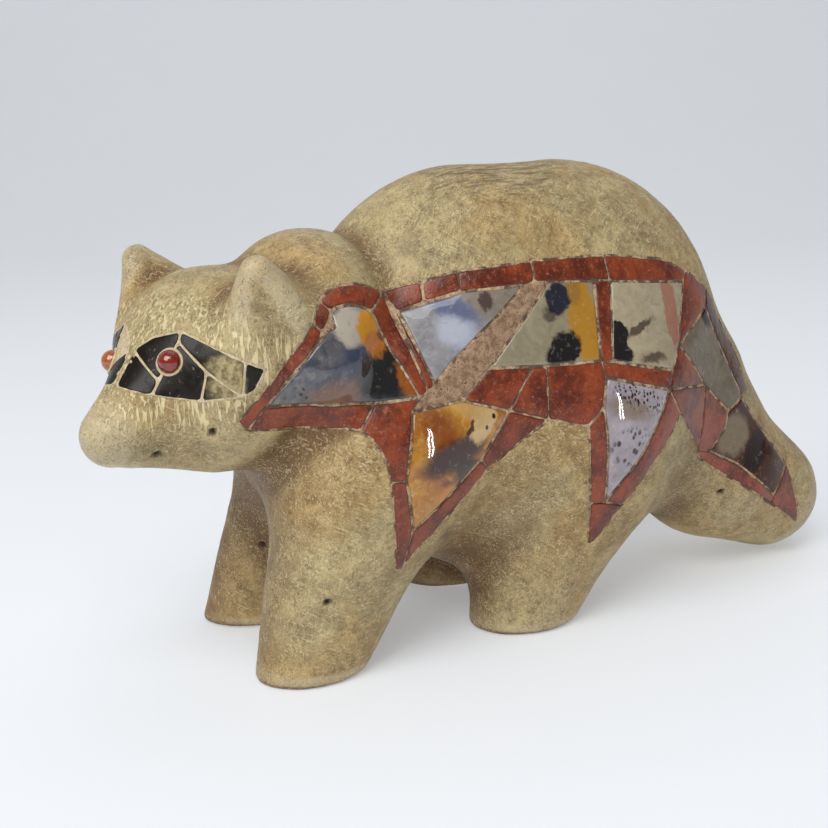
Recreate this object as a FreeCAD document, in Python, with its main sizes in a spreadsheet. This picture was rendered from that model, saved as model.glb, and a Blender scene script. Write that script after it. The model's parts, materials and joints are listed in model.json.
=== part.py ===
"""Carved stone raccoon with inlaid stone panels on both flanks and a mask across the face.

Frame, in millimetres: +X is the animal's left side, -Y is the way it walks, +Z is up.
The origin is on the floor under the middle of the animal. The four soles are at Z = 0.
The carving is one block of stone. Shallow pockets in its flanks and face hold thin tiles,
set edge to edge in mortar, and two stone beads are the eyes. Nothing on it moves.
"""
import FreeCAD, Part
import math
import os

V = FreeCAD.Vector

doc = FreeCAD.newDocument("InlaidRaccoon")
sheet = doc.addObject("Spreadsheet::Sheet", "Dimensions")

# ---------------------------------------------------------------- driving dimensions
DRIVING = {
    "pocket_depth": 2.6,       # the inlay pockets' depth below the carved surface
    "tile_thickness": 1.9,     # the tiles; the mortar bed behind them fills the rest of the pocket
    "joint_half": 0.25,        # half of the mortar joint between two tiles
    "bead_radius": 2.0,        # 4 mm stone beads
    "bead_room": 0.08,         # the bead's socket is this much larger in radius
    "bead_side": 7.9,          # the bead's centre, in the head's own frame
    "bead_front": -72.0,
    "bead_height": 59.9,
    "right_bead_drop": 1.7,    # the right bead sits this much lower than the left one
    "head_yaw": 19.0,          # the head is turned to the animal's left
    "neck_y": -45.0,           # the head turns about this point of the midline
    "prism_near": 8.0,         # the flank tiles' prisms start and end here, measured from X = 0
    "prism_far": 36.0,
    "mask_front": 9.0,         # the mask prisms' reach, forward and back from their plane
    "mask_back": 4.0,
    "mask_nose": -77.0,        # the mask's outline is measured from this point of the head's midline
    "ear_base_radius": 9.0,
    "ear_tip_radius": 3.2,
    "ear_length": 12.0,
    "hump_half_width": 19.0,
    "hump_half_length": 15.0,
    "hump_half_height": 19.5,
    "far_splay": 5.0,          # the right feet stand this much further out than the left ones
}

# Trunk and tail: station along Y, lowest point, highest point, half width.
TRUNK = [
    (-46.5, 36.0, 52.0, 7.0), (-44.0, 28.0, 60.0, 13.0), (-38.0, 22.5, 68.0, 20.0),
    (-30.0, 20.0, 76.0, 24.0), (-20.0, 19.5, 84.0, 25.8), (-8.0, 20.0, 88.0, 26.3),
    (6.0, 20.0, 89.0, 26.3), (20.0, 19.0, 88.0, 26.0), (32.0, 17.0, 84.5, 24.2),
    (42.0, 13.5, 77.5, 21.0), (50.0, 9.0, 67.0, 18.8), (57.0, 5.0, 53.5, 17.8),
    (64.0, 2.2, 41.5, 16.2), (71.0, 0.8, 31.5, 13.8), (77.0, 1.6, 25.5, 10.6),
    (80.5, 5.0, 21.0, 7.0), (82.5, 9.6, 16.4, 3.2),
]
# Head: station along its own -Y, height of the centre, half width, half height.
HEAD = [
    (-42.0, 57.5, 16.0, 14.0), (-50.0, 56.5, 20.0, 16.6), (-57.0, 56.0, 20.6, 17.2),
    (-63.0, 55.2, 18.4, 15.6), (-69.0, 53.3, 13.6, 12.6), (-75.0, 50.6, 9.4, 9.1),
    (-80.0, 48.3, 6.6, 6.4), (-83.0, 47.1, 3.9, 3.8), (-84.0, 46.8, 2.0, 1.9),
]
# Left ear, in the head's own frame: the middle of its root, and the point that it aims at.
EAR_ROOT = (12.5, -54.0, 63.0)
EAR_TIP = (15.8, -58.6, 73.5)
EAR_BALL_SINK = 0.6         # the tip's ball is centred this far below the cone's end
HUMP_CENTRE = V(1, -39, 59)
# Left legs: height, centre X, centre Y, half length along Y, half width along X.
FORE_LEG = [
    (0.0, 12.2, -45.2, 10.2, 8.2), (10.0, 12.0, -41.5, 11.6, 9.4), (22.0, 11.8, -37.0, 14.4, 12.2),
    (34.0, 11.8, -32.0, 17.0, 14.6), (46.0, 11.0, -30.0, 15.0, 13.0),
]
HIND_LEG = [
    (0.0, 11.4, 0.6, 10.8, 8.6), (10.0, 12.0, 4.1, 13.2, 11.0), (22.0, 12.0, 8.1, 16.2, 13.4),
    (34.0, 12.0, 12.0, 19.2, 16.0), (46.0, 12.0, 14.0, 19.6, 16.7), (57.0, 11.0, 14.0, 14.0, 12.0),
]

# ---------------------------------------------------------------- outlines of the inlay
# Corners where tiles meet on a flank, as (Y, Z). Both flanks use them.
CORNERS = {
    "nose_top": (-58.7, 49.7), "nose_low": (-57.0, 47.8), "collar_low": (-54.3, 51.7),
    "collar_out": (-46.3, 65.0), "collar_in": (-44.5, 63.4), "arch_out": (-43.6, 67.9),
    "arch_in": (-41.7, 66.2), "arch_end": (-33.0, 65.1), "ridge_1": (-29.4, 67.7),
    "ridge_2": (-22.7, 69.3), "ridge_3": (-16.5, 70.7), "ridge_4": (-2.3, 71.7),
    "ridge_5": (13.6, 71.6), "ridge_6": (27.5, 69.9), "ridge_7": (34.7, 67.0), "ridge_8": (42.2, 63.0),
    "sill_1": (-27.4, 64.4), "sill_2": (-22.9, 65.8), "sill_3": (-16.8, 67.3), "sill_4": (-4.6, 67.7),
    "sill_5": (-2.6, 68.0), "sill_6": (0.3, 67.9), "sill_7": (10.3, 67.3), "sill_8": (13.9, 67.0),
    "sill_9": (33.1, 65.1), "cross_left": (-27.2, 50.6), "cross_mid": (-25.5, 51.4),
    "cross_right": (-24.0, 52.2), "base_right": (-35.5, 50.3), "fork_out": (-38.4, 46.2),
    "fork_top": (-29.4, 48.5), "fore_in": (-31.8, 37.2), "fore_out": (-34.6, 37.2),
    "fore_tip_in": (-29.7, 27.3), "fore_tip_low": (-30.6, 20.4), "fore_tip_out": (-32.2, 19.9),
    "elbow_in": (-16.3, 38.4), "elbow_out": (-14.6, 36.4), "knee_in": (-10.5, 46.4),
    "band_low": (-2.9, 43.9), "band_left": (-19.2, 49.2), "band_1": (-13.7, 54.0),
    "band_2": (-5.1, 53.5), "band_3": (-2.4, 53.3), "waist_1": (8.6, 53.3), "waist_2": (10.9, 53.0),
    "waist_3": (25.8, 49.6), "hind_top": (9.1, 50.5), "hind_right": (23.9, 46.4),
    "hind_left": (7.8, 45.1), "hind_out": (4.5, 42.0), "hock_in": (9.8, 26.5), "hock_out": (6.5, 26.9),
    "hock_right": (14.3, 25.2), "hind_tip_1": (9.4, 18.6), "hind_tip_2": (7.6, 18.3),
    "rear_1": (28.9, 53.7), "rear_2": (37.8, 44.5), "rear_3": (45.9, 37.8), "rear_4": (27.5, 41.2),
    "rear_5": (37.8, 30.9), "rear_6": (41.9, 29.9), "rear_7": (45.6, 34.4), "rump_top": (40.4, 59.6),
    "rump_out_1": (44.0, 61.4), "rump_out_2": (51.0, 49.1), "rump_out_3": (54.2, 41.0),
    "rump_low": (51.2, 39.7), "tail_right": (66.3, 23.1), "tail_corner": (61.9, 16.8),
    "tail_mid": (50.2, 25.8), "tail_out_1": (39.9, 28.4), "tail_out_2": (61.6, 14.9),
    "tail_tip_1": (71.4, 10.0), "tail_tip_2": (70.8, 8.9),
}
# Rounded edges: the point halfway along each arc between two corners.
ARCS = {
    ("arch_out", "ridge_1"): (-37.4, 69.9),
    ("arch_in", "arch_end"): (-37.2, 66.7),
    ("fork_out", "fore_out"): (-35.7, 42.4),
    ("hind_right", "hock_in"): (18.1, 37.2),
}
ARC_POINTS = 4    # extra points along a rounded edge
TILES = {
    "agate_shoulder": "collar_low collar_in arch_in arch_end cross_left base_right",
    "agate_ridge": "sill_1 sill_2 sill_3 sill_4 cross_right",
    "agate_middle": "sill_6 sill_7 waist_1 band_3 band_2 band_1",
    "agate_loin": "sill_8 sill_9 rear_1 waist_3 waist_2",
    "agate_foreleg": "fork_top band_left knee_in elbow_in fore_tip_in fore_in",
    "agate_hindleg": "hind_top hind_right hock_in hind_left",
    "agate_rump": "rump_top rear_1 rear_2 rear_3 rump_low",
    "agate_tail": "rump_low tail_right tail_corner tail_mid rear_6 rear_7 rear_3",
    "red_collar": "nose_top collar_out collar_in collar_low nose_low",
    "red_collar_wedge": "collar_out arch_out arch_in collar_in",
    "red_arch": "arch_out ridge_1 arch_end arch_in",
    "red_brace_front": "arch_end ridge_1 cross_mid cross_left",
    "red_brace_rear": "ridge_1 sill_1 cross_right cross_mid",
    "red_ridge_1": "ridge_1 ridge_2 sill_2 sill_1",
    "red_ridge_2": "ridge_2 ridge_3 sill_3 sill_2",
    "red_ridge_3": "ridge_3 ridge_4 sill_5 sill_4 sill_3",
    "red_ridge_4": "ridge_4 ridge_5 sill_8 sill_7 sill_6 sill_5",
    "red_ridge_5": "ridge_5 ridge_6 ridge_7 sill_9 sill_8",
    "red_rear_divider": "ridge_7 ridge_8 rump_top rear_1 sill_9",
    "red_divider": "sill_7 sill_8 waist_2 waist_1",
    "red_band_1": "band_left band_1 band_2 knee_in",
    "red_band_2": "band_2 band_3 band_low knee_in",
    "red_band_3": "band_3 waist_1 hind_top hind_left hind_out band_low",
    "red_base": "nose_low collar_low base_right fork_out",
    "red_fork": "fork_out base_right cross_left fork_top fore_in fore_out",
    "red_foreleg_tip": "fore_out fore_in fore_tip_in fore_tip_low fore_tip_out",
    "red_foreleg_knee": "knee_in band_low elbow_out elbow_in",
    "red_foreleg_rear": "elbow_in elbow_out fore_tip_low fore_tip_in",
    "red_waist": "waist_1 waist_2 waist_3 hind_right hind_top",
    "red_hindleg_front": "hind_out hind_left hock_in hock_out",
    "red_hindleg_tip": "hock_out hock_in hock_right hind_tip_1 hind_tip_2",
    "red_hindleg_rear": "hind_right rear_4 hock_right hock_in",
    "red_rear_top": "rear_1 rear_2 hind_right waist_3",
    "red_rear_blade": "rear_2 rear_5 rear_4 hind_right",
    "red_rear_low": "rear_2 rear_3 rear_7 rear_6 rear_5",
    "dark_rump_strip": "ridge_8 rump_out_1 rump_out_2 rump_out_3 rump_low rump_top",
    "red_tail_strip": "rear_5 rear_6 tail_mid tail_corner tail_out_2 tail_out_1",
    "red_tail_tip": "tail_corner tail_right tail_tip_1 tail_tip_2 tail_out_2",
    "mortar_band": "sill_4 sill_5 sill_6 band_1 band_left fork_top cross_left cross_mid cross_right",
}
# The pocket's own outline, round the whole panel.
PANEL = (
    "nose_top collar_out arch_out ridge_1 ridge_2 ridge_3 ridge_4 ridge_5 ridge_6 ridge_7 ridge_8"
    " rump_out_1 rump_out_2 rump_out_3 rump_low tail_right tail_tip_1 tail_tip_2 tail_out_2"
    " tail_out_1 rear_5 rear_4 hock_right hind_tip_1 hind_tip_2 hock_out hind_out band_low"
    " elbow_out fore_tip_low fore_tip_out fore_out fork_out nose_low"
)

# Corners of the mask, as (distance back along the cheek, Z) in the head's frame.
MASK_CORNERS = {
    "bridge_top": (2.9, 61.2), "brow": (6.2, 63.2), "peak": (11.1, 64.4), "slope": (18.5, 61.3),
    "rear_top": (21.6, 59.7), "tip": (24.8, 58.3), "tip_low": (22.9, 54.8), "rear_low": (20.8, 53.8),
    "cheek": (14.1, 53.3), "jaw": (6.3, 54.5), "bridge_low": (0.2, 55.8), "cross_1": (7.4, 56.8),
    "lid": (10.7, 62.7), "cross_2": (15.2, 58.1),
}
MASK_TILES = {
    "mask_nose": "bridge_top cross_1 jaw bridge_low",
    "mask_brow": "bridge_top brow peak lid cross_1",
    "mask_eye": "lid cross_2 cheek jaw cross_1",
    "mask_temple": "peak slope rear_top rear_low cross_2 lid",
    "mask_cheek": "cross_2 rear_low cheek",
    "mask_rear": "rear_top tip tip_low rear_low",
}
MASK_PANEL = "bridge_top brow peak slope rear_top tip tip_low rear_low cheek jaw bridge_low"


def set_dimension(row, alias, value):
    """Write one plain number into the sheet under its alias."""
    sheet.set("A%d" % row, alias)
    sheet.set("B%d" % row, "%.4f" % value)
    sheet.setAlias("B%d" % row, alias)


def fill_sheet():
    """Driving dimensions first, then every section's own sizes."""
    rows = list(DRIVING.items())
    columns = {
        "trunk": (TRUNK, ("station", "low", "high", "half_width")),
        "head": (HEAD, ("station", "centre", "half_width", "half_height")),
        "fore": (FORE_LEG, ("level", "side", "centre", "half_length", "half_width")),
        "hind": (HIND_LEG, ("level", "side", "centre", "half_length", "half_width")),
    }
    for group, (table, names) in columns.items():
        for index, section in enumerate(table):
            for name, value in zip(names, section):
                rows.append(("%s_%s_%d" % (group, name, index), value))
    for row, (alias, value) in enumerate(rows, start=1):
        set_dimension(row, alias, value)
    doc.recompute()


def cell(alias):
    return "Dimensions." + alias


def bind(item, **expressions):
    """Bind properties of a document object to expressions over the sheet."""
    for name, expression in expressions.items():
        item.setExpression(name.replace("__", "."), expression)


def add(kind, name):
    item = doc.addObject(kind, name)
    item.Label = name
    return item


# ---------------------------------------------------------------- the carving's volumes
UPRIGHT = FreeCAD.Rotation(V(0, 0, 1), V(1, 0, 0), V(0, 1, 0), "ZXY")   # long axis up, across Y
ACROSS = FreeCAD.Rotation(V(1, 0, 0), V(0, 0, -1), V(0, 1, 0), "ZXY")   # long axis along X
ALONG = FreeCAD.Rotation(V(0, 0, 1), 90.0)                              # long axis along Y


def loft(name, sections):
    """One smooth solid through elliptical sections."""
    item = add("Part::Loft", name)
    item.Sections = sections
    item.Solid = True
    item.Ruled = False
    return item


def trunk(tag, inset):
    """Chest, back, rump and tail. An inset form leaves out its two end sections."""
    ends = 0 if inset == "0" else 1
    sections = []
    for index in range(ends, len(TRUNK) - ends):
        ring = add("Part::Ellipse", "%s_trunk_ring_%d" % (tag, index))
        ring.Placement = FreeCAD.Placement(V(0, 0, 0), UPRIGHT)
        low = cell("trunk_low_%d" % index)
        high = cell("trunk_high_%d" % index)
        bind(
            ring,
            MajorRadius="(%s - %s) / 2 - %s" % (high, low, inset),
            MinorRadius="%s - %s" % (cell("trunk_half_width_%d" % index), inset),
            Placement__Base__y=cell("trunk_station_%d" % index),
            Placement__Base__z="(%s + %s) / 2" % (high, low),
        )
        sections.append(ring)
    return loft(tag + "_trunk", sections)


def head(tag, inset):
    """Skull and muzzle, along the head's own -Y, then turned about the neck."""
    nose_rings = 0 if inset == "0" else 1
    yaw = math.radians(DRIVING["head_yaw"])
    turn = FreeCAD.Rotation(V(0, 0, 1), DRIVING["head_yaw"])
    sections = []
    for index in range(len(HEAD) - nose_rings):
        ring = add("Part::Ellipse", "%s_head_ring_%d" % (tag, index))
        ring.Placement = FreeCAD.Placement(V(0, 0, 0), turn.multiply(ACROSS))
        reach = "(%s - %s)" % (cell("head_station_%d" % index), cell("neck_y"))
        bind(
            ring,
            MajorRadius="%s - %s" % (cell("head_half_width_%d" % index), inset),
            MinorRadius="%s - %s" % (cell("head_half_height_%d" % index), inset),
            Placement__Base__x="%s * %.6f" % (reach, -math.sin(yaw)),
            Placement__Base__y="%s + %s * %.6f" % (cell("neck_y"), reach, math.cos(yaw)),
            Placement__Base__z=cell("head_centre_%d" % index),
        )
        sections.append(ring)
    return loft(tag + "_head", sections)


def leg(tag, group, table, side, inset):
    """One leg. The right ones lean out by the splay, from nothing at the shoulder."""
    sections = []
    for index, section in enumerate(table):
        ring = add("Part::Ellipse", "%s_%s_%s_ring_%d" % (tag, group, side, index))
        ring.Placement = FreeCAD.Placement(V(0, 0, 0), ALONG)
        lean = "0"
        if side == "right":
            share = 1.0 - section[0] / table[-1][0]
            lean = "%s * %.4f" % (cell("far_splay"), share)
        sign = 1 if side == "left" else -1
        bind(
            ring,
            MajorRadius="%s - %s" % (cell("%s_half_length_%d" % (group, index)), inset),
            MinorRadius="%s - %s" % (cell("%s_half_width_%d" % (group, index)), inset),
            Placement__Base__x="%d * (%s + %s)" % (sign, cell("%s_side_%d" % (group, index)), lean),
            Placement__Base__y=cell("%s_centre_%d" % (group, index)),
            Placement__Base__z=cell("%s_level_%d" % (group, index)),
        )
        sections.append(ring)
    return loft("%s_%s_%s" % (tag, group, side), sections)


def hump(tag, inset):
    """The shoulder hump behind the ears."""
    item = add("Part::Ellipsoid", tag + "_hump")
    item.Placement.Base = HUMP_CENTRE
    bind(
        item,
        Radius1="%s - %s" % (cell("hump_half_height"), inset),
        Radius2="%s - %s" % (cell("hump_half_width"), inset),
        Radius3="%s - %s" % (cell("hump_half_length"), inset),
    )
    return item


def head_point(x, y, z):
    """A point of the head's own frame, as a point of the model's frame."""
    pivot = V(0, DRIVING["neck_y"], 0)
    turn = FreeCAD.Rotation(V(0, 0, 1), DRIVING["head_yaw"])
    return pivot + turn.multVec(V(x, y, z) - pivot)


def ear(side, sign):
    """A blunt cone with a round tip."""
    root = head_point(sign * EAR_ROOT[0], EAR_ROOT[1], EAR_ROOT[2])
    tip = head_point(sign * EAR_TIP[0], EAR_TIP[1], EAR_TIP[2])
    lean = FreeCAD.Rotation(V(0, 0, 1), tip - root)
    cone = add("Part::Cone", "ear_%s_cone" % side)
    cone.Placement = FreeCAD.Placement(root, lean)
    bind(
        cone,
        Radius1=cell("ear_base_radius"),
        Radius2=cell("ear_tip_radius"),
        Height=cell("ear_length"),
    )
    ball = add("Part::Sphere", "ear_%s_tip" % side)
    reach = (tip - root).normalize() * (DRIVING["ear_length"] - EAR_BALL_SINK)
    ball.Placement.Base = root + reach
    bind(ball, Radius=cell("ear_tip_radius"))
    return [cone, ball]


def fuse(name, items):
    item = add("Part::MultiFuse", name)
    item.Shapes = items
    return item


def common(name, items):
    item = add("Part::MultiCommon", name)
    item.Shapes = items
    return item


def cut(name, base, tool):
    item = add("Part::Cut", name)
    item.Base = base
    item.Tool = tool
    return item


def form(tag, inset):
    """The whole animal, or a copy of it that is smaller all round by the inset."""
    volumes = [trunk(tag, inset), hump(tag, inset), head(tag, inset)]
    for side in ("left", "right"):
        volumes.append(leg(tag, "fore", FORE_LEG, side, inset))
        volumes.append(leg(tag, "hind", HIND_LEG, side, inset))
    if inset == "0":
        for side, sign in (("left", 1), ("right", -1)):
            volumes.extend(ear(side, sign))
    return fuse(tag, volumes)


# ---------------------------------------------------------------- the inlay
def arc_points(start, middle, end, count):
    """Points along the arc through three points, without its two ends."""
    arc = Part.Arc(V(*start, 0), V(*middle, 0), V(*end, 0)).toShape()
    points = [(point.x, point.y) for point in arc.discretize(Number=count + 2)[1:-1]]
    if math.dist(points[0], start) > math.dist(points[0], end):
        points.reverse()
    return points


def polygon(corner_names, corners, arcs):
    """The named corners in order, with extra points where an edge is rounded."""
    names = corner_names.split()
    points = []
    for start, end in zip(names, names[1:] + names[:1]):
        points.append(corners[start])
        middle = arcs.get((start, end)) or arcs.get((end, start))
        if middle:
            points.extend(arc_points(corners[start], middle, corners[end], ARC_POINTS))
    return points


def drawn_in(points, distance):
    """The polygon with every edge moved inwards by the distance."""
    area = 0.0
    for (x1, y1), (x2, y2) in zip(points, points[1:] + points[:1]):
        area += x1 * y2 - x2 * y1
    turn = 1.0 if area > 0 else -1.0
    moved = []
    for before, here, after in zip(points[-1:] + points[:-1], points, points[1:] + points[:1]):
        arriving = V(here[0] - before[0], here[1] - before[1], 0).normalize()
        leaving = V(after[0] - here[0], after[1] - here[1], 0).normalize()
        inward = V(-arriving.y - leaving.y, arriving.x + leaving.x, 0) * turn
        stretch = distance * 2.0 / inward.Length ** 2
        moved.append((here[0] + inward.x * stretch, here[1] + inward.y * stretch))
    return moved


def outline(name, points, placement):
    """A closed sketch through the points."""
    sketch = add("Sketcher::SketchObject", name)
    sketch.Placement = placement
    for start, end in zip(points, points[1:] + points[:1]):
        sketch.addGeometry(Part.LineSegment(V(*start, 0), V(*end, 0)))
    return sketch


def tile_outline(name, corner_names, corners, arcs, placement):
    """A tile's outline: the network's lines, drawn in by half a mortar joint."""
    gap = sheet.get(sheet.getCellFromAlias("joint_half"))
    points = drawn_in(polygon(corner_names, corners, arcs), float(gap))
    return outline(name, points, placement)


def prism(name, base, direction, forward, back):
    item = add("Part::Extrusion", name)
    item.Base = base
    item.DirMode = "Custom"
    item.Dir = direction
    item.Solid = True
    bind(item, LengthFwd=forward, LengthRev=back)
    return item


FLANK_PLANE = FreeCAD.Placement(V(0, 0, 0), FreeCAD.Rotation(V(1, 1, 1), 120.0))
SIDES = {"left": V(1, 0, 0), "right": V(-1, 0, 0)}


def flank_prism(name, base, side):
    return prism(name, base, SIDES[side], cell("prism_far"), "-" + cell("prism_near"))


def mask_frame(sign):
    """The plane of one half of the mask, 45 degrees out from the head's midline."""
    turn = FreeCAD.Rotation(V(0, 0, 1), DRIVING["head_yaw"])
    back = turn.multVec(V(sign, 1, 0).normalize())
    out = turn.multVec(V(sign, -1, 0).normalize())
    plane = FreeCAD.Rotation(back, V(0, 0, 1), out * sign, "ZYX")
    start = head_point(0, DRIVING["mask_nose"], 0)
    return FreeCAD.Placement(start, plane), out


def bead(name, sign, room):
    """A bead of an eye, or the ball that cuts its socket, which has room to spare."""
    height = DRIVING["bead_height"]
    if sign < 0:
        height -= DRIVING["right_bead_drop"]
    item = add("Part::Sphere", name)
    item.Placement.Base = head_point(sign * DRIVING["bead_side"], DRIVING["bead_front"], height)
    bind(item, Radius="%s + %s" % (cell("bead_radius"), room))
    return item


def flank(side, sketches):
    """The pocket of one flank, its tiles, and the mortar bed behind them."""
    panel = outline("panel_outline_" + side, polygon(PANEL, CORNERS, ARCS), FLANK_PLANE)
    column = flank_prism("panel_prism_" + side, panel, side)
    pocket = common("pocket_" + side, [column, pocket_layer])
    bed = common("flank_bed_" + side, [column, bed_layer])
    tiles = {}
    for name, wire in sketches.items():
        column = flank_prism("%s_prism_%s" % (name, side), wire, side)
        tiles[name] = common("%s_%s" % (side, name), [column, tile_layer])
    return pocket, tiles, bed


def mask(side, sign, socket):
    """One half of the mask, with the tiles cut round the eye."""
    plane, out = mask_frame(sign)
    forward = cell("mask_front")
    back = cell("mask_back")
    panel = outline("mask_outline_" + side, polygon(MASK_PANEL, MASK_CORNERS, {}), plane)
    column = prism("mask_prism_" + side, panel, out, forward, back)
    pocket = common("mask_pocket_" + side, [column, pocket_layer])
    whole_bed = common("mask_whole_bed_" + side, [column, bed_layer])
    bed = cut("mask_bed_" + side, whole_bed, socket)
    tiles = {}
    for name, corner_names in MASK_TILES.items():
        wire = tile_outline("%s_outline_%s" % (name, side), corner_names, MASK_CORNERS, {}, plane)
        column = prism("%s_prism_%s" % (name, side), wire, out, forward, back)
        whole = common("%s_whole_%s" % (name, side), [column, tile_layer])
        tiles[name] = cut("%s_%s" % (side, name), whole, socket)
    return pocket, tiles, bed


def group(name, items):
    """Several separate solids kept in one node."""
    item = add("Part::Compound", name)
    item.Links = items
    return item


# ---------------------------------------------------------------- assembly
fill_sheet()
carving = form("carving", "0")
bed_form = form("bed_form", cell("tile_thickness"))
core = form("core", cell("pocket_depth"))
pocket_layer = cut("pocket_layer", carving, core)
tile_layer = cut("tile_layer", carving, bed_form)
bed_layer = cut("bed_layer", bed_form, core)

wires = {}
for tile_name, tile_corners in TILES.items():
    wires[tile_name] = tile_outline(tile_name + "_outline", tile_corners, CORNERS, ARCS, FLANK_PLANE)

nodes = []
cutters = []
flank_beds = []
mask_beds = []
for side_name, side_sign in (("left", 1), ("right", -1)):
    nodes.append(bead("%s_eye" % side_name, side_sign, "0"))
    eye_socket = bead("%s_eye_socket" % side_name, side_sign, cell("bead_room"))
    flank_pocket, flank_tiles, flank_bed = flank(side_name, wires)
    mask_pocket, mask_tiles, mask_bed = mask(side_name, side_sign, eye_socket)
    cutters += [flank_pocket, mask_pocket, eye_socket]
    flank_beds.append(flank_bed)
    mask_beds.append(mask_bed)
    if side_name == "left":
        nodes += list(flank_tiles.values()) + list(mask_tiles.values())
        continue
    # The far side repeats the near one: its border and its mask tiles are kept as two nodes.
    border = [tile for name, tile in flank_tiles.items() if not name.startswith("agate")]
    nodes += [tile for name, tile in flank_tiles.items() if name.startswith("agate")]
    nodes.append(group("right_border_tiles", border))
    nodes.append(group("right_mask_tiles", list(mask_tiles.values())))

nodes.append(group("flank_grout", flank_beds))
nodes.append(group("mask_grout", mask_beds))
nodes.insert(0, cut("stone_body", carving, fuse("all_pockets", cutters)))
doc.recompute()


def check_document():
    """Stop if any object failed, or a sub-part is empty or not valid."""
    for item in doc.Objects:
        for state in ("Invalid", "Error"):
            if state in item.State:
                raise RuntimeError("%s is %s" % (item.Label, state))
    for node in nodes:
        if node.Shape.isNull() or not node.Shape.isValid() or not node.Shape.Solids:
            raise RuntimeError("%s has no valid solid" % node.Label)


check_document()
os.makedirs("parts", exist_ok=True)
for node in nodes:
    node.Shape.exportStep("parts/%s.step" % node.Label)
    print("%-28s %2d solid(s) %9.1f mm3" % (node.Label, len(node.Shape.Solids), node.Shape.Volume))
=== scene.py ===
"""Looks of the carved stone raccoon: the carving, its inlay, its eyes, the light and the camera.

The carving is sculpted here as one smooth distance field, in millimetres, over the CAD volumes.
The tiles' outlines are read from the CAD nodes, and each tile is laid onto the sculpted surface.
Frame: +X the animal's left side, -Y the way it walks, +Z up. Blender's objects are in metres.
"""

import json
import math

import bpy
import numpy as np
import openvdb
from mathutils import Matrix, Vector
from mathutils.geometry import delaunay_2d_cdt


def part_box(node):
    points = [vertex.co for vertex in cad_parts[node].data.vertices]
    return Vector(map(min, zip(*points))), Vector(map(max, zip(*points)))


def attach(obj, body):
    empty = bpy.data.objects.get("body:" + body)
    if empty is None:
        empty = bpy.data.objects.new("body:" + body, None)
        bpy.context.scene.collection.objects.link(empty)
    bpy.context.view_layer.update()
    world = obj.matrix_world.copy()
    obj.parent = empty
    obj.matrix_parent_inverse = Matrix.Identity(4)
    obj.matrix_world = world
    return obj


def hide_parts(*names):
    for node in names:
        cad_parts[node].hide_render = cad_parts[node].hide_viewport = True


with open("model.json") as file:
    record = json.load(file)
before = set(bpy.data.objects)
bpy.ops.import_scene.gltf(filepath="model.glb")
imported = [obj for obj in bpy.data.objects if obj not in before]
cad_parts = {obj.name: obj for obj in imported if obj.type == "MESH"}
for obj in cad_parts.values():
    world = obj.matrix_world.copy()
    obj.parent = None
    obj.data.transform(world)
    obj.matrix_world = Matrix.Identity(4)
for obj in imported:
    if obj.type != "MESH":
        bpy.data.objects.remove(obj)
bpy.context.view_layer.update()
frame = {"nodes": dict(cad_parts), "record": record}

MM = 0.001          # one millimetre, in metres
BODY = "root"


# ---- distance fields
def ellipsoid(points, centre, radii):
    q = points - np.asarray(centre, dtype=np.float32)
    r = np.asarray(radii, dtype=np.float32)
    near = np.linalg.norm(q / r, axis=-1)
    far = np.linalg.norm(q / (r * r), axis=-1)
    return near * (near - 1.0) / np.maximum(far, 1e-6)


def tapered(points, start, end, start_radius, end_radius, squeeze=1.0):
    """A round cone with round ends. Squeeze narrows it along X."""
    scale = np.array([1.0 / squeeze, 1.0, 1.0], dtype=np.float32)
    a = np.asarray(start, dtype=np.float32) * scale
    b = np.asarray(end, dtype=np.float32) * scale
    axis = b - a
    length2 = float(axis @ axis)
    step = start_radius - end_radius
    slope2 = length2 - step * step
    pa = points * scale - a
    y = pa @ axis
    z = y - length2
    t = pa * length2 - y[..., None] * axis
    x2 = np.einsum("...i,...i->...", t, t)
    y2 = y * y * length2
    z2 = z * z * length2
    k = np.sign(step) * step * step * x2
    side = (np.sqrt(x2 * slope2 / length2) + y * step) / length2 - start_radius
    at_end = np.sign(z) * slope2 * z2 > k
    at_start = ~at_end & (np.sign(y) * slope2 * y2 < k)
    side = np.where(at_end, np.sqrt(x2 + z2) / length2 - end_radius, side)
    side = np.where(at_start, np.sqrt(x2 + y2) / length2 - start_radius, side)
    return side * min(1.0, squeeze)


def join(a, b, blend):
    """Smooth union: the blend is the width of the fillet."""
    h = np.maximum(blend - np.abs(a - b), 0.0) / blend
    return np.minimum(a, b) - h * h * blend * 0.25


def clip(a, b, blend):
    return -join(-a, -b, blend)


# ---- the sculpt, in millimetres
NECK = np.array([0.0, -45.0, 0.0], dtype=np.float32)    # the head turns about this line
HEAD_YAW = math.radians(19.0)
TO_HEAD = np.array([
    [math.cos(HEAD_YAW), -math.sin(HEAD_YAW), 0.0],
    [math.sin(HEAD_YAW), math.cos(HEAD_YAW), 0.0],
    [0.0, 0.0, 1.0],
], dtype=np.float32)


def head_local(points):
    return (points - NECK) @ TO_HEAD + NECK


def head_world(points):
    return (np.asarray(points, dtype=np.float32) - NECK) @ TO_HEAD.T + NECK


def trunk_field(p):
    back = join(ellipsoid(p, (0, -4, 50), (25, 36, 38.3)), ellipsoid(p, (0, 15, 48), (25, 39, 40.5)), 4)
    back = join(back, ellipsoid(p, (0, -14, 42), (25, 34, 20)), 8)
    back = join(back, ellipsoid(p, (0, -31.5, 44), (22, 16, 24)), 8)
    return join(back, ellipsoid(p, (2, -38.2, 59), (19, 16.2, 19.4)), 2.0)


def tail_field(p):
    root = tapered(p, (0.5, 45, 37), (1, 56, 22), 17.5, 16.5)
    return join(root, tapered(p, (1, 56, 22), (2, 70.5, 13.5), 16.5, 12.8), 1)


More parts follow.
